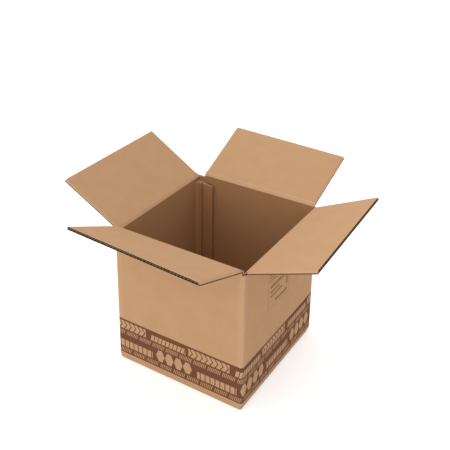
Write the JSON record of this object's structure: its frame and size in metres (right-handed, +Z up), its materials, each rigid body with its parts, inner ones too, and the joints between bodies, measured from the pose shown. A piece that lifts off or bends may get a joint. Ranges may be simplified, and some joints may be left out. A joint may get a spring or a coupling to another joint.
{
  "type": "bottle shipping box",
  "caption": "Open slotted shipping box of double-wall corrugated board for bottles, with hinged top flaps and a printed band round its foot.",
  "frame": {"origin": "on the floor, under the middle of the box, in the 3 mm seam of the bottom flaps; the base mount is 4 mm in front of it, on the front bottom flap", "axes": "+Z up, -Y out of the front panel, +X out of the right panel"},
  "size_m": [0.6257, 0.6234, 0.431],
  "materials": {
    "printed_kraft_board": "matt brown kraft liner, double-wall corrugated",
    "kraft_board": "matt brown kraft liner, double-wall corrugated"
  },
  "bodies": {
    "box": {"box_body": "printed_kraft_board"},
    "front": {"front_flap": "kraft_board"},
    "back": {"back_flap": "kraft_board"},
    "left": {"left_flap": "kraft_board"},
    "right": {"right_flap": "kraft_board"}
  },
  "joints": [
    {"name": "front_crease", "type": "hinge", "parent": "box", "child": "front", "pos_m": [0, -0.1648, 0.353], "axis": [1, 0, 0], "range_deg": [-154, 106]},
    {"name": "back_crease", "type": "hinge", "parent": "box", "child": "back", "pos_m": [0, 0.1648, 0.353], "axis": [-1, 0, 0], "range_deg": [-154.5, 105.5]},
    {"name": "left_crease", "type": "hinge", "parent": "box", "child": "left", "pos_m": [-0.1648, 0, 0.3461], "axis": [0, -1, 0], "range_deg": [-151.5, 113.5]},
    {"name": "right_crease", "type": "hinge", "parent": "box", "child": "right", "pos_m": [0.1648, 0, 0.3461], "axis": [0, 1, 0], "range_deg": [-159.5, 105.5]}
  ]
}
